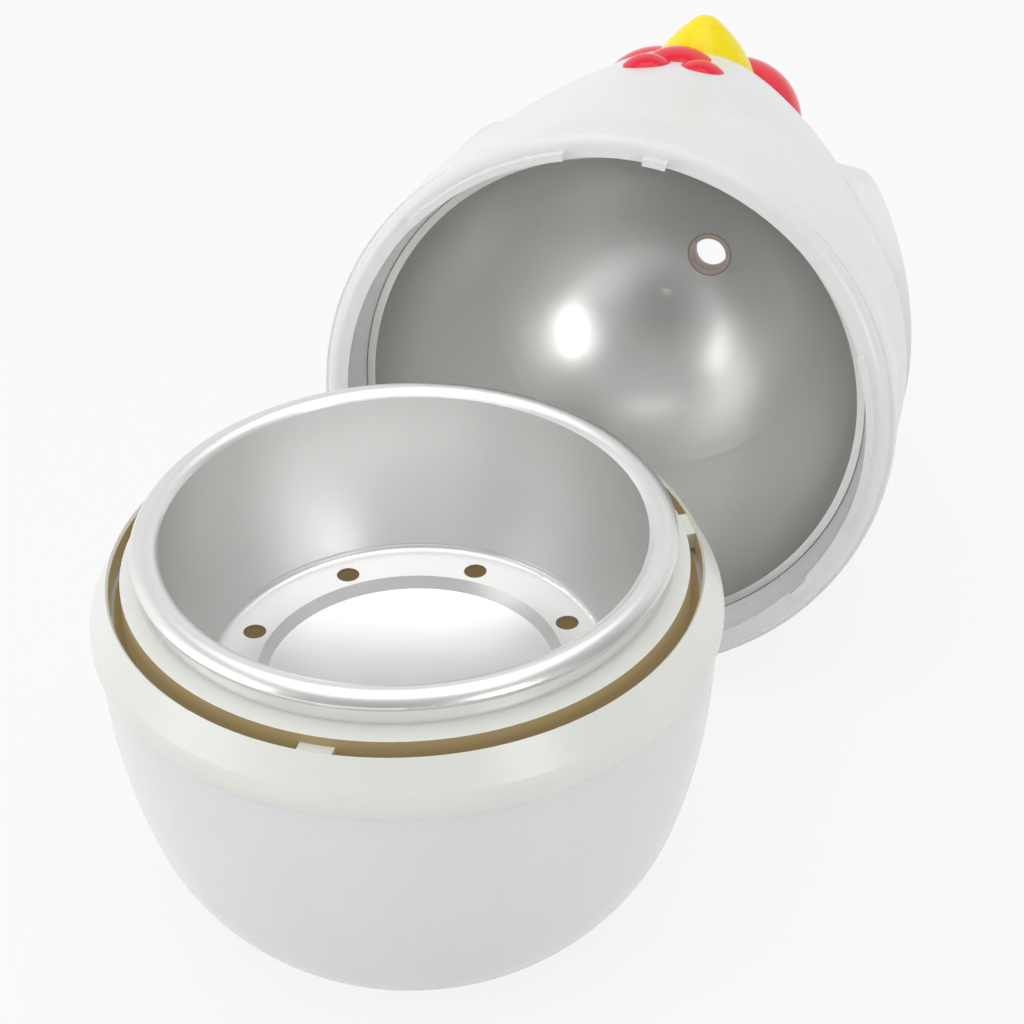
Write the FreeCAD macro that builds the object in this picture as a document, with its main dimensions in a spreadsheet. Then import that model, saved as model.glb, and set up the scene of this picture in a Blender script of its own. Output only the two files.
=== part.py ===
import FreeCAD, Part
import math
import os

import Sketcher

os.makedirs("parts", exist_ok=True)

# Microwave egg cooker in the shape of a hen, shown opened. The base stands with its foot on z = 0 and its
# axis on Z. The lid lies on its back behind the base, opening towards -Y, beak up. Lengths are in
# millimetres and angles in degrees.
SIZES = {
    # base bowl, a round belly on a flat foot
    "foot_radius": 38.5,
    "foot_edge_width": 3.0,
    "foot_edge_rise": 1.0,
    "foot_edge_radius": 5.0,
    "belly_width": 62.2,
    "belly_height": 27.0,
    "belly_radius": 56.0,
    "flank_radius": 150.0,
    "body_radius": 70.7,
    "body_height": 75.5,
    "bowl_wall": 2.4,
    "bowl_neck_height": 8.6,
    "bowl_neck_inset": 1.5,
    # collar: the rounded shoulder band, the groove and the seat ring with its bridging tabs
    "collar_overhang": 1.8,
    "collar_roll_height": 4.2,
    "collar_roll_radius": 9.2,
    "collar_hem_radius": 6.0,
    "collar_hem": 1.6,
    "shoulder_height": 90.9,
    "shoulder_rise": 7.7,
    "shoulder_inset": 0.6,
    "groove_width": 2.8,
    "ring_inset": 5.9,
    "ring_step": 1.6,
    "ring_depth": 8.5,
    "ring_wall": 2.2,
    "seat_bevel": 3.5,
    "seat_width": 3.5,
    "seat_rise": 1.4,
    "tab_count": 3,
    "tab_width": 8.0,
    "tab_height": 4.0,
    "tab_drop": 0.7,
    "tab_root": 0.8,
    "tab_first_angle": -107.0,
    "snap_clearance": 0.15,
    # egg tray, pressed from aluminium sheet
    "sheet": 0.9,
    "tray_bead_inset": 2.6,
    "tray_bead_width": 6.6,
    "tray_neck_inset": 1.7,
    "tray_bead_crown": 3.9,
    "tray_bead_curl": 1.6,
    "tray_skirt_height": 4.0,
    "tray_curl_height": 1.8,
    "tray_lip_rise": 1.0,
    "tray_depth": 37.6,
    "tray_wall_bow": 80.0,
    "tray_wall_taper": 9.0,
    "ledge_width": 11.1,
    "ledge_fold": 1.6,
    "dish_step": 2.4,
    "dish_draft": 1.9,
    "dish_depth": 4.5,
    "hole_count": 8,
    "hole_diameter": 5.4,
    "hole_inset": 7.0,
    "hole_first_angle": 22.0,
    # lid shell: round stations from the rim to the crown, the head leaning forward
    "rim_width": 5.5,
    "rim_round": 3.0,
    "shell_wall": 2.4,
    "crown_sink": 1.7,
    "rim_lip": 0.5,
    "cut_margin": 1.0,
    # locating ribs on the rim
    "rib_count": 3,
    "rib_depth": 3.0,
    "rib_wall": 1.8,
    "rib_clearance": 0.5,
    "rib_span": 38.0,
    "rib_first_angle": -21.0,
    "stop_span": 5.0,
    "stop_first_angle": -86.0,
    # aluminium dome in the lid
    "liner_height": 12.0,
    "liner_inset": 4.1,
    "liner_flange": 1.9,
    "liner_crown_rise": 20.3,
    "liner_side_radius": 90.0,
    "liner_shoulder_inset": 19.3,
    "liner_shoulder_height": 67.7,
    "liner_clearance": 0.3,
    # vent bush, a slanted sleeve from the liner to the hen's back
    "vent_diameter": 8.7,
    "vent_wall": 1.3,
    "vent_length": 34.0,
    "vent_root": 6.0,
    "vent_drop": 3.0,
    "vent_side": 11.0,
    "vent_front": 12.3,
    "vent_tilt": 15.5,
    "vent_turn": 19.0,
    "vent_clearance": 0.15,
    # wings, a raised skin within a tilted oval on each flank
    "wing_relief": 7.0,
    "wing_root_share": 0.33,
    "wing_length": 84.0,
    "wing_width": 36.0,
    "wing_draft": 6.0,
    "wing_height": 75.7,
    "wing_tilt": -22.0,
    # tail, a drop that leans back
    "tail_radius": 11.0,
    "tail_length": 41.0,
    "tail_sink": 32.7,
    "tail_share": 0.53,
    "tail_lean": 32.0,
    # coloured inserts and eyes
    "insert_root": 5.0,
    "beak_radius": 14.8,
    "beak_length": 18.4,
    "beak_tip": 4.2,
    "beak_bow": 38.0,
    "beak_side": 1.5,
    "beak_sink": 10.5,
    "beak_share": 0.81,
    "beak_dip": 5.9,
    "wattle_lobe": 6.9,
    "wattle_spread": 6.6,
    "wattle_side": -2.2,
    "wattle_share": 0.22,
    "wattle_bridge": 8.8,
    "wattle_bridge_rise": 9.0,
    "wattle_relief": 1.6,
    "wattle_root": 14.0,
    "wattle_crown": 3.4,
    "comb_side_radius": 17.5,
    "comb_middle_radius": 14.5,
    "comb_spread": 10.6,
    "comb_back": 5.6,
    "comb_lift": 2.0,
    "comb_rise": 8.0,
    "eye_radius": 4.2,
    "eye_sink": 3.9,
    "eye_share": 0.49,
    "eye_turn": 61.0,
    # where the lid lies
    "lid_offset_x": 48.3,
    "lid_offset_y": 87.6,
    "lid_dip": 12.22,
    "lid_yaw": 13.02,
    "lid_turn": 3.0,
}

# oval stations of the lid shell: height over the rim, forward lean, half width and half depth
STATIONS = [
    (0.0, 0.0, 70.7, 70.7),
    (16.0, 0.0, 70.4, 69.9),
    (34.0, 0.0, 70.1, 67.8),
    (50.0, 0.8, 68.3, 65.0),
    (65.0, 3.6, 62.8, 61.2),
    (80.0, 9.1, 55.0, 55.0),
    (92.0, 20.0, 44.4, 43.1),
    (102.0, 32.1, 30.4, 30.1),
    (110.0, 40.2, 16.3, 16.3),
    (115.0, 44.6, 7.1, 7.1),
]
HEAD_STATION = 6
TAIL_STATION = 3
WATTLE_STATION = 5
BEAK_STATION = 7

doc = FreeCAD.newDocument("EggCooker")
sheet = doc.addObject("Spreadsheet::Sheet", "Sizes")
sheet_row = 0


def add_size(alias, value):
    """Put one named value in the sheet."""
    global sheet_row
    sheet_row += 1
    sheet.set(f"A{sheet_row}", alias)
    sheet.set(f"B{sheet_row}", str(value))
    sheet.setAlias(f"B{sheet_row}", alias)


for size_name, size_value in SIZES.items():
    add_size(size_name, size_value)
for number, (height, lean, half_width, half_depth) in enumerate(STATIONS):
    add_size(f"station_{number}_height", height)
    add_size(f"station_{number}_lean", lean)
    add_size(f"station_{number}_width", half_width)
    add_size(f"station_{number}_depth", half_depth)
doc.recompute()


def size(alias):
    """Read one named value from the sheet."""
    return float(sheet.get(alias))


def value_of(expression):
    """Work out a sheet expression as a plain number."""
    result = sheet.evalExpression(expression)
    return float(getattr(result, "Value", result))


def arc_centre(start, end, radius, side):
    """Centre of the arc from start to end; side +1 puts it left of the chord, -1 right."""
    mid_x = (start[0] + end[0]) / 2
    mid_y = (start[1] + end[1]) / 2
    step_x = end[0] - start[0]
    step_y = end[1] - start[1]
    chord = math.hypot(step_x, step_y)
    rise = math.sqrt(max(radius * radius - chord * chord / 4, 1e-9)) * side
    return mid_x - step_y / chord * rise, mid_y + step_x / chord * rise


def section(name, corners, closed=False):
    """Half section in the XZ plane: x is the distance from the axis and y in the sketch is the height.

    Each corner is (x, y) for a straight edge that leads to it, or (x, y, radius, side) for an arc.
    """
    sketch = doc.addObject("Sketcher::SketchObject", name)
    sketch.Placement = FreeCAD.Placement(
        FreeCAD.Vector(0, 0, 0), FreeCAD.Rotation(FreeCAD.Vector(1, 0, 0), 90))
    spots = [(value_of(corner[0]), value_of(corner[1])) for corner in corners]
    edges = list(range(1, len(corners)))
    if closed:
        edges.append(0)
    previous = 0
    starts = {}
    bindings = []
    for index in edges:
        start, end = spots[previous], spots[index]
        corner = corners[index]
        if len(corner) == 2:
            line = Part.LineSegment(FreeCAD.Vector(*start, 0), FreeCAD.Vector(*end, 0))
            edge = sketch.addGeometry(line)
            first, last = 1, 2
        else:
            radius = value_of(corner[2])
            centre = arc_centre(start, end, radius, corner[3])
            from_angle = math.atan2(start[1] - centre[1], start[0] - centre[0])
            to_angle = math.atan2(end[1] - centre[1], end[0] - centre[0])
            circle = Part.Circle(FreeCAD.Vector(*centre, 0), FreeCAD.Vector(0, 0, 1), radius)
            first, last = 1, 2
            if corner[3] < 0:
                from_angle, to_angle = to_angle, from_angle
                first, last = 2, 1
            edge = sketch.addGeometry(Part.ArcOfCircle(circle, from_angle, to_angle))
            bindings.append((sketch.addConstraint(Sketcher.Constraint("Radius", edge, radius)), corner[2]))
        if previous in starts:
            sketch.addConstraint(Sketcher.Constraint(
                "Coincident", starts[previous][0], starts[previous][1], edge, first))
        else:
            starts[previous] = (edge, first)
        if index in starts:
            sketch.addConstraint(Sketcher.Constraint(
                "Coincident", starts[index][0], starts[index][1], edge, last))
        else:
            starts[index] = (edge, last)
        previous = index
    for index, (edge, point) in starts.items():
        x, y = spots[index]
        if abs(x) < 1e-9:
            sketch.addConstraint(Sketcher.Constraint("PointOnObject", edge, point, -2))
        else:
            bindings.append((sketch.addConstraint(
                Sketcher.Constraint("DistanceX", -1, 1, edge, point, x)), corners[index][0]))
        if abs(y) < 1e-9:
            sketch.addConstraint(Sketcher.Constraint("PointOnObject", edge, point, -1))
        else:
            bindings.append((sketch.addConstraint(
                Sketcher.Constraint("DistanceY", -1, 1, edge, point, y)), corners[index][1]))
    for constraint, expression in bindings:
        sketch.setExpression(f"Constraints[{constraint}]", expression)
    return sketch


def revolve(name, profile):
    """Solid of revolution about Z from a closed section."""
    solid = doc.addObject("Part::Revolution", name)
    solid.Source = profile
    solid.Axis = (0, 0, 1)
    solid.Base = (0, 0, 0)
    solid.Angle = 360
    solid.Solid = True
    return solid


def sheet_wall(name, path, thickness):
    """Section of a wall of even thickness laid to one side of an open path."""
    wall = doc.addObject("Part::Offset2D", name)
    wall.Source = path
    wall.Mode = "Skin"
    wall.Join = "Arc"
    wall.Fill = True
    wall.setExpression("Value", thickness)
    return wall


def fuse(name, pieces):
    """One moulding out of several forms."""
    result = doc.addObject("Part::MultiFuse", name)
    result.Shapes = pieces
    return result


def cut(name, base, tool):
    """Base with the tool's form taken out."""
    result = doc.addObject("Part::Cut", name)
    result.Base = base
    result.Tool = tool
    return result


def bind(item, **expressions):
    """Bind properties to sheet expressions; x, y and z are the placement's coordinates."""
    for key, expression in expressions.items():
        path = f"Placement.Base.{key}" if key in ("x", "y", "z") else key
        item.setExpression(path, expression)
    return item


def cylinder(name, radius, height, **place):
    """Cylinder along Z."""
    return bind(doc.addObject("Part::Cylinder", name), Radius=radius, Height=height, **place)


def ball(name, radius, **place):
    """Sphere."""
    return bind(doc.addObject("Part::Sphere", name), Radius=radius, **place)


def drop(name, radius, length, place):
    """Drop: a round end at the bottom that draws up to a point, stood along its own Z."""
    profile = section(f"{name}_section", [
        ("0", "0"),
        (radius, radius, radius, 1),
        (f"{radius} / 6", length, length, 1),
        ("0", length),
    ], closed=True)
    solid = revolve(name, profile)
    solid.Placement = place
    return solid


def ring_loft(name, rings):
    """Smooth solid through a row of rings."""
    loft = doc.addObject("Part::Loft", name)
    loft.Sections = rings
    loft.Solid = True
    loft.Ruled = False
    return loft


LID_SCALE = "(Sizes.body_radius / Sizes.station_0_width)"


def lid(expression):
    """A length of the lid's drawing, scaled so that the rim is flush with the body."""
    return f"({expression}) * {LID_SCALE}"


def between(station, share, kind):
    """A station's value, part of the way to the next station's."""
    return f"(Sizes.station_{station}_{kind} * (1 - {share}) + Sizes.station_{station + 1}_{kind} * {share})"


def front_of(station, share):
    """How far forward the dome's front lies, part of the way from a station to the next."""
    return f"-{between(station, share, 'lean')} - {between(station, share, 'depth')}"


def dome_loft(name, first, last, inset, sink="0"):
    """Dome through the stations from first to last, drawn in by the inset; the head's also sink."""
    rings = []
    insets = inset if isinstance(inset, list) else [inset] * (last + 1 - first)
    for station, inset in zip(range(first, last + 1), insets):
        ring = doc.addObject("Part::Ellipse", f"{name}_ring_{station}")
        down = sink if station >= HEAD_STATION else "0"
        bind(ring,
             MajorRadius=lid(f"Sizes.station_{station}_width") + f" - ({inset})",
             MinorRadius=lid(f"Sizes.station_{station}_depth") + f" - ({inset})",
             y=lid(f"-Sizes.station_{station}_lean"),
             z=lid(f"Sizes.station_{station}_height") + f" - ({down})")
        rings.append(ring)
    return ring_loft(name, rings)


WATTLE_FRONT = lid(front_of(WATTLE_STATION, "Sizes.wattle_share")) + " - Sizes.wattle_relief"
WATTLE_HEIGHT = lid(between(WATTLE_STATION, "Sizes.wattle_share", "height"))


def button(name, radius, x, rise="0"):
    """Round button that points forward, from its root in the head to its domed front."""
    rim = "Sizes.wattle_root"
    crown = "Sizes.wattle_crown"
    profile = section(f"{name}_section", [
        ("0", "0"),
        (radius, "0"),
        (radius, f"{rim} - {crown}"),
        ("0", rim, f"(({radius}) ^ 2 + {crown} ^ 2) / (2 * {crown})", 1),
    ], closed=True)
    solid = revolve(name, profile)
    solid.Placement = FreeCAD.Placement(
        FreeCAD.Vector(0, 0, 0), FreeCAD.Rotation(FreeCAD.Vector(1, 0, 0), 90))
    return bind(solid, x=x, y=f"{WATTLE_FRONT} + {rim}", z=f"{WATTLE_HEIGHT} + {rise}")


# Radii that follow from the body's radius, from the collar inwards.
COLLAR_RADIUS = "(Sizes.body_radius + Sizes.collar_overhang)"
RING_RADIUS = "(Sizes.body_radius - Sizes.ring_inset)"
SEAT_RADIUS = f"({RING_RADIUS} - Sizes.seat_bevel)"
SEAT_INNER_RADIUS = f"({SEAT_RADIUS} - Sizes.seat_width)"
TRAY_BEAD_RADIUS = f"({RING_RADIUS} - Sizes.tray_bead_inset)"
TRAY_NECK_RADIUS = f"({TRAY_BEAD_RADIUS} - Sizes.tray_neck_inset)"
TRAY_MOUTH_RADIUS = f"({TRAY_BEAD_RADIUS} - Sizes.tray_bead_width)"
LEDGE_RADIUS = f"({TRAY_MOUTH_RADIUS} - Sizes.tray_wall_taper)"
LEDGE_INNER_RADIUS = f"({LEDGE_RADIUS} - Sizes.ledge_width)"
HOLE_CIRCLE_RADIUS = f"({LEDGE_RADIUS} - Sizes.hole_inset)"
RIM_INNER_RADIUS = "(Sizes.body_radius - Sizes.rim_width)"
LINER_RADIUS = f"({RIM_INNER_RADIUS} - Sizes.liner_inset)"
LINER_SHOULDER_RADIUS = f"({LINER_RADIUS} - Sizes.liner_shoulder_inset)"

# Base bowl: flat foot with a rolled edge, round belly, straighter flank, and a neck that the collar
# snaps over.
bowl_path = section("bowl_path", [
    ("0", "0"),
    ("Sizes.foot_radius", "0"),
    ("Sizes.foot_radius + Sizes.foot_edge_width", "Sizes.foot_edge_rise", "Sizes.foot_edge_radius", 1),
    ("Sizes.belly_width", "Sizes.belly_height", "Sizes.belly_radius", 1),
    ("Sizes.body_radius", "Sizes.body_height", "Sizes.flank_radius", 1),
    ("Sizes.body_radius - Sizes.bowl_neck_inset", "Sizes.body_height"),
    ("Sizes.body_radius - Sizes.bowl_neck_inset", "Sizes.body_height + Sizes.bowl_neck_height"),
])
base_bowl = revolve("base_bowl", sheet_wall("bowl_wall_section", bowl_path, "Sizes.bowl_wall"))

# Collar: shoulder band round the bowl's neck, seat ring for the tray, and tabs across the groove.
GROOVE_OUTER = f"{RING_RADIUS} + Sizes.groove_width"
NECK = "Sizes.body_radius - Sizes.bowl_neck_inset + Sizes.snap_clearance"
NECK_TOP = "Sizes.body_height + Sizes.bowl_neck_height + Sizes.snap_clearance"
shoulder_section = section("shoulder_section", [
    (GROOVE_OUTER, "Sizes.shoulder_height - Sizes.shoulder_inset"),
    (GROOVE_OUTER + " + Sizes.shoulder_inset", "Sizes.shoulder_height"),
    (f"{COLLAR_RADIUS} - Sizes.shoulder_inset", "Sizes.shoulder_height - Sizes.shoulder_rise"),
    (COLLAR_RADIUS, "Sizes.body_height + Sizes.collar_roll_height", "Sizes.collar_roll_radius", -1),
    (f"{COLLAR_RADIUS} - Sizes.collar_hem", "Sizes.body_height", "Sizes.collar_hem_radius", -1),
    (NECK, "Sizes.body_height"),
    (NECK, NECK_TOP),
    (GROOVE_OUTER, NECK_TOP + " + Sizes.shoulder_inset"),
], closed=True)
RING_TOP = "Sizes.shoulder_height + Sizes.ring_step"
ring_section = section("ring_section", [
    (SEAT_INNER_RADIUS, RING_TOP + " + Sizes.seat_rise"),
    (SEAT_RADIUS, RING_TOP + " + Sizes.seat_rise"),
    (RING_RADIUS, RING_TOP),
    (RING_RADIUS, RING_TOP + " - Sizes.ring_depth"),
    (f"{RING_RADIUS} - Sizes.ring_wall", RING_TOP + " - Sizes.ring_depth"),
    (f"{RING_RADIUS} - Sizes.ring_wall", RING_TOP + " - Sizes.ring_wall"),
    (SEAT_INNER_RADIUS, RING_TOP + " + Sizes.seat_rise - Sizes.ring_wall"),
], closed=True)
collar_pieces = [revolve("shoulder", shoulder_section), revolve("seat_ring", ring_section)]
for number in range(int(size("tab_count"))):
    tab = bind(
        doc.addObject("Part::Box", f"bridging_tab_{number}"),
        Length="Sizes.groove_width + 2 * Sizes.tab_root",
        Width="Sizes.tab_width",
        Height="Sizes.tab_height")
    turn = size("tab_first_angle") + number * 360 / size("tab_count")
    rotation = FreeCAD.Rotation(FreeCAD.Vector(0, 0, 1), turn)
    corner = rotation.multVec(FreeCAD.Vector(
        value_of(RING_RADIUS) - size("tab_root"), -size("tab_width") / 2, 0))
    corner.z = size("shoulder_height") - size("tab_drop") - size("tab_height")
    tab.Placement = FreeCAD.Placement(corner, rotation)
    collar_pieces.append(tab)
base_collar = fuse("base_collar", collar_pieces)

# Egg tray: one pressed sheet. The path follows its upper face from the middle of the dish over the
# ledge, up the wall, over the bead and down the skirt that stands on the seat ring.
SKIRT_FOOT = RING_TOP + " + Sizes.seat_rise"
CURL = SKIRT_FOOT + " + Sizes.tray_skirt_height"
BEAD = CURL + " + Sizes.tray_curl_height"
LIP = BEAD + " + Sizes.tray_lip_rise"
LEDGE = LIP + " - Sizes.tray_depth"
tray_path = section("tray_path", [
    ("0", LEDGE + " - Sizes.dish_step - Sizes.dish_depth"),
    (f"{LEDGE_INNER_RADIUS} - Sizes.dish_draft", LEDGE + " - Sizes.dish_step",
     f"({LEDGE_INNER_RADIUS} ^ 2 + Sizes.dish_depth ^ 2) / (2 * Sizes.dish_depth)", 1),
    (LEDGE_INNER_RADIUS, LEDGE),
    (f"{LEDGE_RADIUS} - Sizes.ledge_fold", LEDGE),
    (LEDGE_RADIUS, LEDGE + " + Sizes.ledge_fold", "Sizes.ledge_fold", 1),
    (TRAY_MOUTH_RADIUS, LIP, "Sizes.tray_wall_bow", 1),
    (TRAY_BEAD_RADIUS, BEAD, "Sizes.tray_bead_crown", -1),
    (TRAY_NECK_RADIUS, CURL, "Sizes.tray_bead_curl", -1),
    (TRAY_NECK_RADIUS, SKIRT_FOOT),
])
tray_sheet = revolve("tray_sheet", sheet_wall("tray_wall_section", tray_path, "-Sizes.sheet"))
steam_holes = []
for number in range(int(size("hole_count"))):
    turn = math.radians(size("hole_first_angle") + number * 360 / size("hole_count"))
    steam_holes.append(cylinder(
        f"steam_hole_{number}", "Sizes.hole_diameter / 2", "Sizes.sheet * 3",
        x=f"{HOLE_CIRCLE_RADIUS} * {math.cos(turn):.6f}",
        y=f"{HOLE_CIRCLE_RADIUS} * {math.sin(turn):.6f}",
        z=LEDGE + " - Sizes.sheet * 2"))
egg_tray = cut("egg_tray", tray_sheet, fuse("steam_holes", steam_holes))

# Lid, in its own frame: rim on z = 0, dome up, the hen looks towards -Y.
LAST = len(STATIONS) - 1
lid_outer = dome_loft("lid_outer", 0, LAST, "0")
lid_hollow = dome_loft("lid_hollow", 1, LAST - 2, "Sizes.shell_wall", "Sizes.crown_sink")
FLANGE = f"{LINER_RADIUS} + Sizes.liner_flange + Sizes.liner_clearance"
THROAT = f"{LINER_RADIUS} + Sizes.sheet + Sizes.liner_clearance"
FLANGE_TOP = "Sizes.liner_height + Sizes.sheet"
mouth_section = section("mouth_section", [
    ("0", "-Sizes.cut_margin"),
    (RIM_INNER_RADIUS, "-Sizes.cut_margin"),
    (RIM_INNER_RADIUS, "Sizes.rim_lip"),
    (FLANGE, "Sizes.liner_height - Sizes.sheet"),
    (FLANGE, FLANGE_TOP),
    (THROAT, FLANGE_TOP),
    (THROAT, lid("Sizes.station_1_height") + " + Sizes.cut_margin"),
    ("0", lid("Sizes.station_1_height") + " + Sizes.cut_margin"),
], closed=True)
mouth = revolve("mouth", mouth_section)
rim_section = section("rim_section", [
    ("Sizes.body_radius - Sizes.rim_round", "-Sizes.cut_margin"),
    ("Sizes.body_radius + Sizes.rim_round", "-Sizes.cut_margin"),
    ("Sizes.body_radius + Sizes.rim_round", "Sizes.rim_round"),
    ("Sizes.body_radius", "Sizes.rim_round"),
    ("Sizes.body_radius - Sizes.rim_round", "0", "Sizes.rim_round", -1),
], closed=True)
rim_rounding = revolve("rim_rounding", rim_section)

# Wings, which are also the grips: where a tilted oval, drawn in outwards, crosses a skin that stands
# off the dome more and more towards the head.
WING_SHARES = (0.05, 0.3, 0.65, 0.95, 0.95, 0.8, 0.7)
wing_skin = dome_loft("wing_skin", 2, LAST - 1, [f"-Sizes.wing_relief * {share}" for share in WING_SHARES])
WING_ROOT = "Sizes.body_radius * Sizes.wing_root_share"
WING_TIP = "Sizes.body_radius + Sizes.wing_relief"
wings = []
for side, side_name in ((1, "right"), (-1, "left")):
    rings = []
    for number, (reach, growth) in enumerate(((WING_ROOT, 1), (WING_TIP, -1))):
        ring = doc.addObject("Part::Ellipse", f"wing_{side_name}_ring_{number}")
        upright = FreeCAD.Rotation(
            FreeCAD.Vector(0, 1, 0), FreeCAD.Vector(0, 0, 1), FreeCAD.Vector(1, 0, 0), "ZXY")
        tilt = FreeCAD.Rotation(FreeCAD.Vector(1, 0, 0), size("wing_tilt"))
        ring.Placement = FreeCAD.Placement(FreeCAD.Vector(0, 0, 0), tilt * upright)
        bind(ring,
             MajorRadius=f"Sizes.wing_length / 2 + {growth} * Sizes.wing_draft / 2",
             MinorRadius=f"Sizes.wing_width / 2 + {growth} * Sizes.wing_draft / 2",
             x=f"{side} * ({reach})",
             z=lid("Sizes.wing_height"))
        rings.append(ring)
    wing = doc.addObject("Part::MultiCommon", f"wing_{side_name}")
    wing.Shapes = [ring_loft(f"wing_{side_name}_oval", rings), wing_skin]
    wings.append(wing)
tail = drop("tail", "Sizes.tail_radius", "Sizes.tail_length", FreeCAD.Placement(
    FreeCAD.Vector(0, 0, 0), FreeCAD.Rotation(FreeCAD.Vector(1, 0, 0), -size("tail_lean"))))
bind(tail,
     y=lid(f"{between(TAIL_STATION, 'Sizes.tail_share', 'depth')}"
           f" - {between(TAIL_STATION, 'Sizes.tail_share', 'lean')}") + " - Sizes.tail_sink",
     z=lid(between(TAIL_STATION, "Sizes.tail_share", "height")))

# Locating ribs: arcs under the rim that enter the groove of the base between its tabs.
RIB_OUTER = GROOVE_OUTER + " - Sizes.rib_clearance"
rib_section = section("rib_section", [
    (RIB_OUTER + " - Sizes.rib_wall", "-Sizes.rib_depth"),
    (RIB_OUTER, "-Sizes.rib_depth"),
    (RIB_OUTER, "Sizes.rim_round"),
    (RIB_OUTER + " - Sizes.rib_wall", "Sizes.rim_round"),
], closed=True)
ribs = []
for kind, span, first in (
        ("rib", "Sizes.rib_span", size("rib_first_angle")),
        ("stop", "Sizes.stop_span", size("stop_first_angle"))):
    for number in range(int(size("rib_count"))):
        rib = doc.addObject("Part::Revolution", f"{kind}_{number}")
        rib.Source = rib_section
        rib.Axis = (0, 0, 1)
        rib.Base = (0, 0, 0)
        rib.Solid = True
        bind(rib, Angle=span)
        turn = first + number * 360 / size("rib_count")
        rib.Placement = FreeCAD.Placement(
            FreeCAD.Vector(0, 0, 0), FreeCAD.Rotation(FreeCAD.Vector(0, 0, 1), turn))
        ribs.append(rib)

# Inserts: beak, wattle and comb, each one moulding that fills its opening in the head's wall.
beak_section = section("beak_section", [
    ("0", "0"),
    ("Sizes.beak_radius", "0"),
    ("Sizes.beak_radius", "Sizes.insert_root"),
    ("Sizes.beak_tip", "Sizes.insert_root + Sizes.beak_length - Sizes.beak_tip / 2", "Sizes.beak_bow", 1),
    ("0", "Sizes.insert_root + Sizes.beak_length", "Sizes.beak_tip * 1.25", 1),
], closed=True)
beak_blank = revolve("beak_blank", beak_section)
beak_blank.Placement = FreeCAD.Placement(
    FreeCAD.Vector(0, 0, 0), FreeCAD.Rotation(FreeCAD.Vector(1, 0, 0), 90 + size("beak_dip")))
bind(beak_blank,
     x="Sizes.beak_side",
     y=lid(front_of(BEAK_STATION, "Sizes.beak_share")) + " + Sizes.beak_sink",
     z=lid(between(BEAK_STATION, "Sizes.beak_share", "height")))
wattle_blank = fuse("wattle_blank", [
    button("wattle_right", "Sizes.wattle_lobe", "Sizes.wattle_side + Sizes.wattle_spread"),
    button("wattle_left", "Sizes.wattle_lobe", "Sizes.wattle_side - Sizes.wattle_spread"),
    button("wattle_bridge", "Sizes.wattle_bridge", "Sizes.wattle_side", "Sizes.wattle_bridge_rise"),
])
COMB_Y = lid(f"-Sizes.station_{LAST}_lean") + " + Sizes.comb_back"
COMB_Z = lid(f"Sizes.station_{LAST}_height") + " + Sizes.comb_lift"
comb_blank = fuse("comb_blank", [
    ball("comb_middle", "Sizes.comb_middle_radius", y=COMB_Y, z=COMB_Z + " + Sizes.comb_rise"),
    ball("comb_right", "Sizes.comb_side_radius", x="Sizes.comb_spread", y=COMB_Y, z=COMB_Z),
    ball("comb_left", "Sizes.comb_side_radius", x="-Sizes.comb_spread", y=COMB_Y, z=COMB_Z),
])
beak_form = cut("beak_form", beak_blank, lid_hollow)
wattle_form = cut("wattle_form", wattle_blank, fuse("wattle_relief", [lid_hollow, beak_blank]))
comb_form = cut("comb_form", comb_blank, fuse("comb_relief", [lid_hollow, beak_blank]))

# Eyes: small domed studs plugged into the sides of the head.
EYE_WIDTH = between(HEAD_STATION, "Sizes.eye_share", "width")
EYE_DEPTH = between(HEAD_STATION, "Sizes.eye_share", "depth")
EYE_LEAN = "-" + between(HEAD_STATION, "Sizes.eye_share", "lean")
EYE_SINE = "sin(Sizes.eye_turn * 1 deg)"
EYE_COSINE = "cos(Sizes.eye_turn * 1 deg)"
eye_forms = []
for side, side_name in ((1, "right"), (-1, "left")):
    eye = ball(f"eye_{side_name}_form", "Sizes.eye_radius",
               x=f"{side} * ({lid(EYE_WIDTH)} - Sizes.eye_sink) * {EYE_SINE}",
               y=f"{lid(EYE_LEAN)} - ({lid(EYE_DEPTH)} - Sizes.eye_sink) * {EYE_COSINE}",
               z=lid(between(HEAD_STATION, "Sizes.eye_share", "height")))
    eye_forms.append(eye)

# Vent: a slanted sleeve from the liner to the hen's back, square to the back.
LINER_APEX = lid("Sizes.liner_shoulder_height + Sizes.liner_crown_rise")
LINER_CROWN = lid("Sizes.liner_crown_rise")
LINER_CORNERS = [
    (LINER_RADIUS, "Sizes.liner_height"),
    (LINER_SHOULDER_RADIUS, lid("Sizes.liner_shoulder_height"), "Sizes.liner_side_radius", 1),
    ("0", LINER_APEX, f"({LINER_SHOULDER_RADIUS} ^ 2 + ({LINER_CROWN}) ^ 2) / (2 * ({LINER_CROWN}))", 1),
]
liner_air = revolve("liner_air", section("liner_air_section", [
    ("0", "Sizes.liner_height")] + LINER_CORNERS, closed=True))
vent_turned = (FreeCAD.Rotation(FreeCAD.Vector(0, 0, 1), size("vent_turn"))
               * FreeCAD.Rotation(FreeCAD.Vector(1, 0, 0), -size("vent_tilt")))
vent_start = (FreeCAD.Vector(size("vent_side"), -size("vent_front"), value_of(LINER_APEX) - size("vent_drop"))
              - vent_turned.multVec(FreeCAD.Vector(0, 0, size("vent_root"))))


def vent_cylinder(name, radius):
    """Cylinder on the vent's slanted axis."""
    item = cylinder(name, radius, "Sizes.vent_length")
    item.Placement = FreeCAD.Placement(vent_start, vent_turned)
    return item


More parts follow.
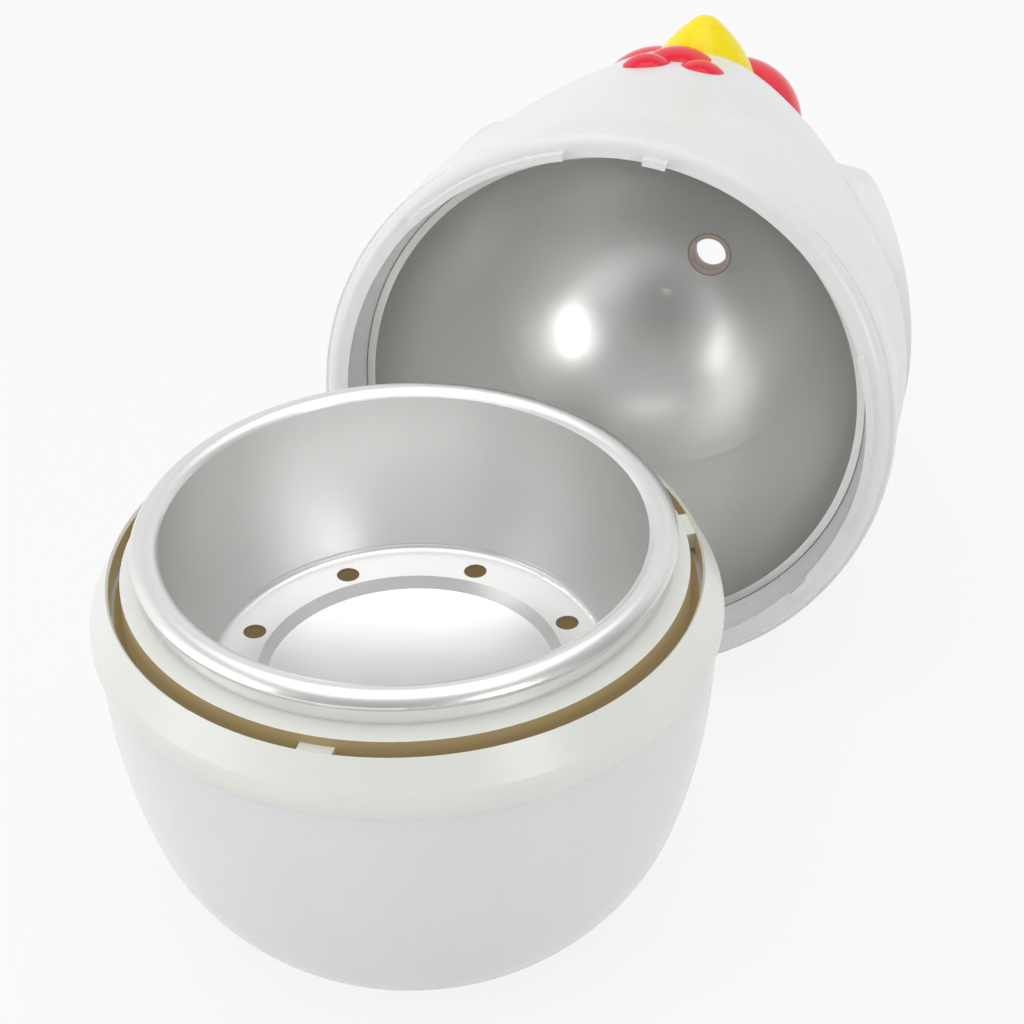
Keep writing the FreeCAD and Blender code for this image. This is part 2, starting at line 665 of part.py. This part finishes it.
vent_bore = vent_cylinder("vent_bore", "Sizes.vent_diameter / 2 + Sizes.vent_wall")
vent_hole = vent_cylinder("vent_hole", "Sizes.vent_diameter / 2")
vent_passage = vent_cylinder("vent_passage", "Sizes.vent_diameter / 2 + Sizes.vent_wall + Sizes.vent_clearance")
vent_sleeve = cut("vent_sleeve", vent_bore, fuse("vent_inside", [vent_hole, liner_air]))

lid_body = fuse("lid_body", [lid_outer] + wings + [tail])
lid_open = cut("lid_open", lid_body, fuse("lid_inside", [lid_hollow, mouth, rim_rounding]))
lid_ribbed = fuse("lid_ribbed", [lid_open] + ribs)
lid_sockets = fuse("lid_sockets", [beak_blank, wattle_blank, comb_blank, vent_bore] + eye_forms)
lid_shell_form = cut("lid_shell_form", lid_ribbed, lid_sockets)
vent_bush_form = doc.addObject("Part::MultiCommon", "vent_bush_form")
vent_bush_form.Shapes = [vent_sleeve, lid_outer]

# Liner: spun dome with a small flange that snaps into the shell's ledge.
liner_path = section("liner_path", [
    (f"{LINER_RADIUS} + Sizes.liner_flange", "Sizes.liner_height")] + LINER_CORNERS)
liner_dome = revolve("liner_dome", sheet_wall("liner_wall_section", liner_path, "-Sizes.sheet"))
lid_liner_form = cut("lid_liner_form", liner_dome, vent_passage)
doc.recompute()

# The lid lies on its back: dome away from the viewer and dipped, turned to the right, and let down
# until its lowest point touches the floor.
lid_turned = (FreeCAD.Rotation(FreeCAD.Vector(0, 0, 1), -size("lid_yaw"))
              * FreeCAD.Rotation(FreeCAD.Vector(1, 0, 0), -90 - size("lid_dip"))
              * FreeCAD.Rotation(FreeCAD.Vector(0, 0, 1), size("lid_turn")))
lying_shape = lid_shell_form.Shape.copy()
lying_shape.Placement = FreeCAD.Placement(FreeCAD.Vector(0, 0, 0), lid_turned)
lowest = lying_shape.optimalBoundingBox(False).ZMin
lid_place = FreeCAD.Placement(
    FreeCAD.Vector(size("lid_offset_x"), size("lid_offset_y"), -lowest), lid_turned)


def lay_down(name, form):
    """The finished piece of the lid, laid where the lid lies."""
    piece = doc.addObject("Part::Refine", name)
    piece.Source = form
    piece.Placement = lid_place
    return piece


lid_nodes = [
    lay_down("lid_shell", lid_shell_form),
    lay_down("lid_liner", lid_liner_form),
    lay_down("vent_bush", vent_bush_form),
    lay_down("beak", beak_form),
    lay_down("wattle", wattle_form),
    lay_down("comb", comb_form),
    lay_down("eye_right", eye_forms[0]),
    lay_down("eye_left", eye_forms[1]),
]
doc.recompute()
for piece in lid_nodes:
    piece.Placement = lid_place

nodes = [base_bowl, base_collar, egg_tray] + lid_nodes
for item in doc.Objects:
    for state in item.State:
        if state in ("Invalid", "Error"):
            raise RuntimeError(f"{item.Label} is {state}")
for node in nodes:
    if node.Shape.isNull() or not node.Shape.isValid():
        raise RuntimeError(f"{node.Label} has no sound shape")
    box = node.Shape.optimalBoundingBox(False)
    corners = [round(edge, 2) for edge in (box.XMin, box.XMax, box.YMin, box.YMax, box.ZMin, box.ZMax)]
    print(node.Label, len(node.Shape.Solids), round(node.Shape.Volume), corners)
    node.Shape.exportStep(f"parts/{node.Label}.step")
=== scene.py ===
# %% [markdown]
# # A hen-shaped microwave egg cooker
# The cooker stands opened: a round plastic base with an aluminium tray, and behind it the lid, lying on
# its back so that its lined dome shows. The solid parts come ready made in one fixed frame, in metres.
# This lesson gives each of them the finish of its real material, and sets up the studio round it.

# %% Load the fixed frame
import math

import bmesh
import bpy
from mathutils import Matrix, Vector


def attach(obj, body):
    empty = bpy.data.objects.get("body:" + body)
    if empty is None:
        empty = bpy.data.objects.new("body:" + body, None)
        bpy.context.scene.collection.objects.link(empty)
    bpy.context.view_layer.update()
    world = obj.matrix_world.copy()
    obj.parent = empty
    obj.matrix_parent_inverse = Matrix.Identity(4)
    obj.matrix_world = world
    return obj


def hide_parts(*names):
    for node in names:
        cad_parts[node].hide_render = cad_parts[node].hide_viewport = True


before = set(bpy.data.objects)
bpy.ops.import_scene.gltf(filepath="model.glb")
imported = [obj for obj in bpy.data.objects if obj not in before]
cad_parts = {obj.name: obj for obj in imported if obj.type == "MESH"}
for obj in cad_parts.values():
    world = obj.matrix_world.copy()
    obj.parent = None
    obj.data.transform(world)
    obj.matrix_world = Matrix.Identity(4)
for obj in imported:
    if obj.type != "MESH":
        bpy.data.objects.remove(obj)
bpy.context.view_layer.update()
print("nodes:", sorted(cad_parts))

# %% [markdown]
# Colours are easier to think of as the hex codes of a paint chart. A renderer mixes light, not paint
# codes, so one function turns each code to the linear values that the shader expects. One more adds a
# shader node with its settings and links in a line, which keeps the recipes below short.

# %% Colour and material helpers
MM = 0.001


def linear(code):
    """Linear colour of an sRGB hex code."""
    values = []
    for place in (0, 2, 4):
        share = int(code[place:place + 2], 16) / 255
        values.append(share / 12.92 if share <= 0.04045 else ((share + 0.055) / 1.055) ** 2.4)
    return (*values, 1.0)


def add(tree, kind, settings=None, links=None):
    """Add a node. A setting is an attribute or an input; inputs go by name, or by number on a Mix."""
    node = tree.nodes.new(kind)
    for key, value in (settings or {}).items():
        if isinstance(key, str) and hasattr(node, key):
            setattr(node, key, value)
        else:
            node.inputs[key].default_value = value
    for key, source in (links or {}).items():
        tree.links.new(source, node.inputs[key])
    return node


def new_material(name, **values):
    """Material with one principled shader, whose plain values are set on its own sockets."""
    material = bpy.data.materials.new(name)
    material.use_nodes = True
    tree = material.node_tree
    shader = tree.nodes["Principled BSDF"]
    for key, value in values.items():
        shader.inputs[key.replace("_", " ")].default_value = value
    return material, tree, shader


def dress(node_name, material):
    """Give a ready-made part its finish."""
    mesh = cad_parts[node_name].data
    mesh.materials.clear()
    mesh.materials.append(material)
    print(node_name, "wears", material.name)


# %% [markdown]
# The shells are polypropylene, moulded in polished steel tools: milky, with a soft gloss. Where the melt
# cooled a little unevenly, the surface carries a very shallow ripple, about as wide as a finger, and a
# tint that drifts by a hair. Both are drawn with noise at real sizes, so they read the same in any view.
# The white pieces also let a little light in, about 2 mm deep, which takes the chalk out of the white.

# %% Moulded polypropylene
PLASTIC_IOR = 1.49
MILK = 0.08
MILK_DEPTH = 2 * MM
RIPPLE_WIDTH = 22 * MM
RIPPLE_DEPTH = 0.15 * MM
TOOL_GRAIN = 0.9 * MM
TOOL_DEPTH = 0.02 * MM
GLOSS_DRIFT = 0.03


def moulded_plastic(name, code, drift_code, roughness, milk=0.0):
    """Moulded polypropylene: soft gloss, shallow ripple, fine tool grain and a slight drift of tint."""
    material, tree, shader = new_material(
        name, IOR=PLASTIC_IOR, Subsurface_Weight=milk, Subsurface_Scale=MILK_DEPTH)
    place = add(tree, "ShaderNodeTexCoord").outputs["Object"]
    flow = add(tree, "ShaderNodeTexNoise", {"Scale": 1 / RIPPLE_WIDTH, "Detail": 2.0}, {"Vector": place})
    grain = add(tree, "ShaderNodeTexNoise", {"Scale": 1 / TOOL_GRAIN, "Detail": 1.0}, {"Vector": place})
    tint = add(tree, "ShaderNodeMix", {"data_type": "RGBA", 6: linear(code), 7: linear(drift_code)},
               {0: flow.outputs["Fac"]})
    gloss = add(tree, "ShaderNodeMapRange",
                {"To Min": roughness - GLOSS_DRIFT, "To Max": roughness + GLOSS_DRIFT},
                {"Value": flow.outputs["Fac"]})
    fine = add(tree, "ShaderNodeBump", {"Strength": 0.05, "Distance": TOOL_DEPTH},
               {"Height": grain.outputs["Fac"]})
    ripple = add(tree, "ShaderNodeBump", {"Strength": 0.25, "Distance": RIPPLE_DEPTH},
                 {"Height": flow.outputs["Fac"], "Normal": fine.outputs["Normal"]})
    tree.links.new(tint.outputs[2], shader.inputs["Base Color"])
    tree.links.new(gloss.outputs["Result"], shader.inputs["Roughness"])
    tree.links.new(ripple.outputs["Normal"], shader.inputs["Normal"])
    return material


# %% [markdown]
# Each colour is a melt of its own. The red and yellow pieces come from small, highly polished tools, so
# they shine most; the beige bush is a hidden insert from a plain tool, and stays matt.

# %% Plastics of the lid
white_shell = moulded_plastic("moulded_white_polypropylene", "EDEDEC", "E6E7E8", 0.27, MILK)
beak_yellow = moulded_plastic("moulded_yellow_polypropylene", "FFEE00", "FFE400", 0.2)
comb_red = moulded_plastic("moulded_red_polypropylene", "F21038", "EA0830", 0.16)
eye_black = moulded_plastic("moulded_black_polypropylene", "141414", "0C0C0C", 0.12)
bush_beige = moulded_plastic("moulded_beige_polypropylene", "DCCBC2", "D2BEB4", 0.5)
for node_name, material in {
        "beak": beak_yellow, "wattle": comb_red, "comb": comb_red,
        "eye_left": eye_black, "eye_right": eye_black, "vent_bush": bush_beige}.items():
    dress(node_name, material)

# %% [markdown]
# The lid's shell is one large free-form surface, and its ready-made mesh has edges that should not show
# on a polished moulding. So the shell gets a copy with its doubled points merged and every face shaded
# smooth. Only real corners, such as those of the locating ribs, stay sharp.

# %% Polished skin of the lid
MERGE_DISTANCE = 0.001 * MM
CORNER_ANGLE = math.radians(32)


def polished_copy(node_name, piece_name, material):
    """Copy of a part with merged points and smooth shading up to real corners; it stands for the part."""
    shape = bmesh.new()
    shape.from_mesh(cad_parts[node_name].data)
    bmesh.ops.remove_doubles(shape, verts=shape.verts, dist=MERGE_DISTANCE)
    mesh = bpy.data.meshes.new(piece_name)
    shape.to_mesh(mesh)
    shape.free()
    for layer in ("custom_normal", "sharp_edge", "sharp_face"):
        if layer in mesh.attributes:
            mesh.attributes.remove(mesh.attributes[layer])
    mesh.shade_smooth()
    mesh.set_sharp_from_angle(angle=CORNER_ANGLE)
    mesh.materials.clear()
    mesh.materials.append(material)
    piece = bpy.data.objects.new(piece_name, mesh)
    bpy.context.collection.objects.link(piece)
    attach(piece, "root")
    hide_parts(node_name)
    print(piece_name, len(mesh.polygons), "faces")


polished_copy("lid_shell", "lid_skin", white_shell)

# %% [markdown]
# The bowl and the collar of the base are white and cream outside. Their insides show only through the
# groove and the steam holes, and they lie in shade. That shade is painted on as an olive brown colour, with
# a small painted glow added on top. So each of the two has a mask for the faces that look inwards. There
# the colour turns to the painted brown shade and the painted glow is added.

# %% Painted shade and glow for a plastic's inside
# Painted shade: the brown that stands for the shade inside the bowl and the groove.
PAINTED_SHADE_COLOUR = "8A7A56"
# Painted glow: an emission on the shaded insides, though they are no lamp.
PAINTED_GLOW_COLOUR = "75674A"
PAINTED_GLOW_STRENGTH = 0.7


def paint_shade_and_glow_inside(material, mask):
    """Paint a plastic's colour to the brown shade where the mask is 1, and add a painted glow there."""
    tree = material.node_tree
    shader = tree.nodes["Principled BSDF"]
    outside = shader.inputs["Base Color"].links[0].from_socket
    # Painted shade: the colour turns to the brown where the mask is 1.
    colour = add(tree, "ShaderNodeMix", {"data_type": "RGBA", 7: linear(PAINTED_SHADE_COLOUR)},
                 {0: mask, 6: outside})
    # Painted glow: emission is added where the mask is 1.
    painted_glow = add(tree, "ShaderNodeMath", {"operation": "MULTIPLY", 1: PAINTED_GLOW_STRENGTH}, {0: mask})
    shader.inputs["Emission Color"].default_value = linear(PAINTED_GLOW_COLOUR)
    tree.links.new(colour.outputs[2], shader.inputs["Base Color"])
    tree.links.new(painted_glow.outputs["Value"], shader.inputs["Emission Strength"])


# %% [markdown]
# On the bowl, a face of the inside looks back towards a point in the middle of the bowl, and a face of
# the outside looks away from it. The sign of one dot product tells the two apart. The inside faces get the
# painted brown shade and glow.

# %% White bowl
BOWL_MIDDLE = (0.0, 0.0, 60 * MM)
bowl_white = moulded_plastic("moulded_white_polypropylene_bowl", "EAEAEB", "E3E4E5", 0.25, MILK)
tree = bowl_white.node_tree
spot = add(tree, "ShaderNodeTexCoord")
outward = add(tree, "ShaderNodeVectorMath", {"operation": "SUBTRACT", 1: BOWL_MIDDLE},
              {0: spot.outputs["Object"]})
facing = add(tree, "ShaderNodeVectorMath", {"operation": "DOT_PRODUCT"},
             {0: outward.outputs["Vector"], 1: spot.outputs["Normal"]})
# Faces that look inwards get the painted shade and glow.
inwards = add(tree, "ShaderNodeMath", {"operation": "LESS_THAN", 1: 0.0}, {0: facing.outputs["Value"]})
paint_shade_and_glow_inside(bowl_white, inwards.outputs["Value"])
dress("base_bowl", bowl_white)

# %% [markdown]
# On the collar the painted brown shade belongs to the two upright walls of the groove alone. They are found
# by their distance from the axis, and by a face that looks straight to or from the axis, so that the small
# tabs across the groove keep their cream.

# %% Cream collar with painted shade in its groove
GROOVE_INNER, GROOVE_OUTER = 64.6 * MM, 67.9 * MM
STRAIGHT_TO_AXIS = 0.8
cream_collar = moulded_plastic("moulded_cream_polypropylene", "EAECE6", "E3E6DF", 0.3, MILK)
tree = cream_collar.node_tree
spot = add(tree, "ShaderNodeTexCoord")
level = add(tree, "ShaderNodeVectorMath", {"operation": "MULTIPLY", 1: (1.0, 1.0, 0.0)},
            {0: spot.outputs["Object"]})
radius = add(tree, "ShaderNodeVectorMath", {"operation": "LENGTH"}, {0: level.outputs["Vector"]})
ray = add(tree, "ShaderNodeVectorMath", {"operation": "NORMALIZE"}, {0: level.outputs["Vector"]})
facing = add(tree, "ShaderNodeVectorMath", {"operation": "DOT_PRODUCT"},
             {0: ray.outputs["Vector"], 1: spot.outputs["Normal"]})
upright = add(tree, "ShaderNodeMath", {"operation": "ABSOLUTE"}, {0: facing.outputs["Value"]})
in_groove = add(tree, "ShaderNodeMath", {"operation": "GREATER_THAN", 1: STRAIGHT_TO_AXIS},
                {0: upright.outputs["Value"]})
for side, limit in (("GREATER_THAN", GROOVE_INNER), ("LESS_THAN", GROOVE_OUTER)):
    within = add(tree, "ShaderNodeMath", {"operation": side, 1: limit}, {0: radius.outputs["Value"]})
    in_groove = add(tree, "ShaderNodeMath", {"operation": "MULTIPLY"},
                    {0: in_groove.outputs["Value"], 1: within.outputs["Value"]})
# The groove walls get the painted shade and glow.
paint_shade_and_glow_inside(cream_collar, in_groove.outputs["Value"])
dress("base_collar", cream_collar)

# %% [markdown]
# The tray and the lid's lining are pressed and spun from soft aluminium sheet. The tool rubs the metal
# to a satin that smears every reflection. A metal's colour is in its reflection, so the base colour is
# light, and the look comes from the roughness, a fine grain and the slow waves that the press leaves.
# On the tray the grain is drawn out round the axis, as the roller that curls the bead leaves it.

# %% Pressed and spun aluminium
SATIN_GRAIN = 0.6 * MM
GRAIN_DEPTH = 0.03 * MM
SLOW_WAVE = 18 * MM
WAVE_DEPTH = 0.3 * MM
SATIN_DRIFT = 0.05
STREAK = 5.0


def worked_aluminium(name, code, roughness, wave, streak=1.0):
    """Satin aluminium sheet: smeared reflections, fine grain, and the slow waves of the press."""
    material, tree, shader = new_material(name, Base_Color=linear(code), Metallic=1.0)
    place = add(tree, "ShaderNodeTexCoord").outputs["Object"]
    parts = add(tree, "ShaderNodeSeparateXYZ", {}, {"Vector": place})
    level = add(tree, "ShaderNodeVectorMath", {"operation": "MULTIPLY", 1: (1.0, 1.0, 0.0)}, {0: place})
    radius = add(tree, "ShaderNodeVectorMath", {"operation": "LENGTH"}, {0: level.outputs["Vector"]})
    turned = add(tree, "ShaderNodeCombineXYZ", {"X": 1.0},
                 {"Y": radius.outputs["Value"], "Z": parts.outputs["Z"]})
    drawn = add(tree, "ShaderNodeMix", {"data_type": "VECTOR", 0: 1 - 1 / streak},
                {4: place, 5: turned.outputs["Vector"]})
    grain = add(tree, "ShaderNodeTexNoise", {"Scale": 1 / SATIN_GRAIN, "Detail": 2.0},
                {"Vector": drawn.outputs[1]})
    slow = add(tree, "ShaderNodeTexNoise", {"Scale": 1 / SLOW_WAVE, "Detail": 1.0}, {"Vector": place})
    satin = add(tree, "ShaderNodeMapRange",
                {"To Min": roughness - SATIN_DRIFT, "To Max": roughness + SATIN_DRIFT},
                {"Value": slow.outputs["Fac"]})
    fine = add(tree, "ShaderNodeBump", {"Strength": 0.2, "Distance": GRAIN_DEPTH},
               {"Height": grain.outputs["Fac"]})
    waves = add(tree, "ShaderNodeBump", {"Strength": wave, "Distance": WAVE_DEPTH},
                {"Height": slow.outputs["Fac"], "Normal": fine.outputs["Normal"]})
    tree.links.new(satin.outputs["Result"], shader.inputs["Roughness"])
    tree.links.new(waves.outputs["Normal"], shader.inputs["Normal"])
    return material


dress("egg_tray", worked_aluminium("pressed_aluminium", "EDEDEC", 0.33, 0.45, STREAK))
dress("lid_liner", worked_aluminium("spun_aluminium", "E6E6E4", 0.3, 0.35))

# %% [markdown]
# A product shot like this one stands on a white sweep of paper. The camera and shiny things see the
# paper almost as plain white, but it still takes a soft shadow, which ties the cooker to the ground.

# %% White floor
WHITE = (1, 1, 1, 1)
FLOOR_HALF = 4.0
PAPER_GLOW = 0.85
paper, tree, shader = new_material("white_paper_sweep", Base_Color=linear("DCDCDC"), Roughness=0.9)
seen = add(tree, "ShaderNodeLightPath")
shiny = add(tree, "ShaderNodeMath", {"operation": "MAXIMUM"},
            {0: seen.outputs["Is Glossy Ray"], 1: seen.outputs["Is Transmission Ray"]})
direct = add(tree, "ShaderNodeMath", {"operation": "MAXIMUM"},
             {0: seen.outputs["Is Camera Ray"], 1: shiny.outputs["Value"]})
share = add(tree, "ShaderNodeMath", {"operation": "MULTIPLY", 1: PAPER_GLOW}, {0: direct.outputs["Value"]})
glow = add(tree, "ShaderNodeEmission", {"Color": WHITE, "Strength": 1.0})
blend = add(tree, "ShaderNodeMixShader", {},
            {0: share.outputs["Value"], 1: shader.outputs["BSDF"], 2: glow.outputs["Emission"]})
tree.links.new(blend.outputs["Shader"], tree.nodes["Material Output"].inputs["Surface"])
sheet = bmesh.new()
bmesh.ops.create_grid(sheet, x_segments=1, y_segments=1, size=FLOOR_HALF)
floor_mesh = bpy.data.meshes.new("floor")
sheet.to_mesh(floor_mesh)
sheet.free()
floor_mesh.materials.append(paper)
floor = bpy.data.objects.new("floor", floor_mesh)
bpy.context.collection.objects.link(floor)
print("floor", tuple(floor.dimensions))

# %% [markdown]
# The light is that of a light tent, and shiny metal mirrors its walls. They are a soft grey, brighter
# above, brighter still at the far left, as by a window, and nearly white low behind the cooker, where
# the paper sweeps up. What the camera sees past the floor is plain white.

# %% Tent walls
WALL_LOW, WALL_HIGH = 0.3, 0.6
WINDOW_LIGHT = 0.5
PAPER_LIGHT = 0.45
world = bpy.data.worlds.new("light_tent")
bpy.context.scene.world = world
world.use_nodes = True
tree = world.node_tree
direction = add(tree, "ShaderNodeTexCoord")
parts = add(tree, "ShaderNodeSeparateXYZ", {}, {"Vector": direction.outputs["Generated"]})
height = add(tree, "ShaderNodeMapRange", {"From Max": 0.9, "To Min": WALL_LOW, "To Max": WALL_HIGH},
             {"Value": parts.outputs["Z"]})
window = add(tree, "ShaderNodeMapRange", {"From Min": -0.6, "From Max": -1.0, "To Max": WINDOW_LIGHT},
             {"Value": parts.outputs["X"]})
sweep = add(tree, "ShaderNodeMapRange", {"From Min": 0.1, "From Max": 0.5, "To Max": PAPER_LIGHT},
            {"Value": parts.outputs["Y"]})
sweep_top = add(tree, "ShaderNodeMapRange", {"From Min": 0.68, "From Max": 0.54},
                {"Value": parts.outputs["Z"]})
paper_behind = add(tree, "ShaderNodeMath", {"operation": "MULTIPLY"},
                   {0: sweep.outputs["Result"], 1: sweep_top.outputs["Result"]})
sides = add(tree, "ShaderNodeMath", {"operation": "ADD"},
            {0: paper_behind.outputs["Value"], 1: window.outputs["Result"]})
walls = add(tree, "ShaderNodeMath", {"operation": "ADD"},
            {0: height.outputs["Result"], 1: sides.outputs["Value"]})
surround = tree.nodes["Background"]
surround.inputs["Color"].default_value = WHITE
tree.links.new(walls.outputs["Value"], surround.inputs["Strength"])
seen = add(tree, "ShaderNodeLightPath")
straight = add(tree, "ShaderNodeMath", {"operation": "MAXIMUM"},
               {0: seen.outputs["Is Camera Ray"], 1: seen.outputs["Is Transmission Ray"]})
white = add(tree, "ShaderNodeBackground", {"Color": WHITE, "Strength": 1.0})
mix = add(tree, "ShaderNodeMixShader", {},
          {0: straight.outputs["Value"], 1: surround.outputs["Background"], 2: white.outputs["Background"]})
tree.links.new(mix.outputs["Shader"], tree.nodes["World Output"].inputs["Surface"])
print("tent walls", WALL_LOW, "to", WALL_HIGH)

# %% [markdown]
# A wide ceiling gives the even top light. Two soft boxes stand low, left and right, where the lid's dome
# mirrors them as two blurs, and two small weak lamps behind put a gleam in the tray's dish. The level is
# plain: a colour renders about as it is written.


# %% Lamps
def soft_box(name, place, target, size, watts):
    """Rectangular area lamp that looks at its target."""
    lamp = bpy.data.lights.new(name, "AREA")
    lamp.shape = "RECTANGLE"
    lamp.size, lamp.size_y = size
    lamp.energy = watts
    item = bpy.data.objects.new(name, lamp)
    bpy.context.collection.objects.link(item)
    item.location = place
    item.rotation_euler = (Vector(target) - Vector(place)).to_track_quat("-Z", "Y").to_euler()
    print(name, watts, "W")


LID_MIDDLE = (0.05, 0.15, 0.06)
TRAY_MIDDLE = (0.0, 0.0, 0.08)
soft_box("box_left", (-1.05, -0.3, 0.26), LID_MIDDLE, (0.7, 0.8), 3.6)
soft_box("box_right", (0.67, -0.85, 0.31), LID_MIDDLE, (0.34, 0.5), 2.4)
soft_box("spot_back_left", (-0.18, 0.66, 1.06), TRAY_MIDDLE, (0.16, 0.16), 0.07)
soft_box("spot_back_right", (0.24, 0.73, 1.0), TRAY_MIDDLE, (0.12, 0.12), 0.035)
soft_box("ceiling", (0.0, 0.1, 1.7), TRAY_MIDDLE, (2.0, 2.0), 12.0)

# %% [markdown]
# The camera looks down on the cooker from the front through a long lens, as in a catalogue shot. Its
# place, its dip and its slight roll are those at which the modelled parts fall on their outlines.

# %% Camera
IMAGE_WIDTH = 1024
FOCAL_PIXELS = 4180
SENSOR_WIDTH = 36.0
CAMERA_PLACE = (24.68 * MM, -767.14 * MM, 651.09 * MM)
CAMERA_DIP = math.radians(35.40)
CAMERA_ROLL = math.radians(-1.93)

lens = bpy.data.cameras.new("camera")
lens.sensor_width = SENSOR_WIDTH
lens.lens = SENSOR_WIDTH * FOCAL_PIXELS / IMAGE_WIDTH
lens.clip_start = 10 * MM
camera = bpy.data.objects.new("camera", lens)
bpy.context.collection.objects.link(camera)
dip = Matrix.Rotation(math.radians(90) - CAMERA_DIP, 4, "X")
camera.matrix_world = Matrix.Translation(CAMERA_PLACE) @ dip @ Matrix.Rotation(CAMERA_ROLL, 4, "Z")
bpy.context.scene.camera = camera
bpy.context.scene.view_settings.view_transform = "Standard"
print("lens", round(lens.lens, 1), "mm")
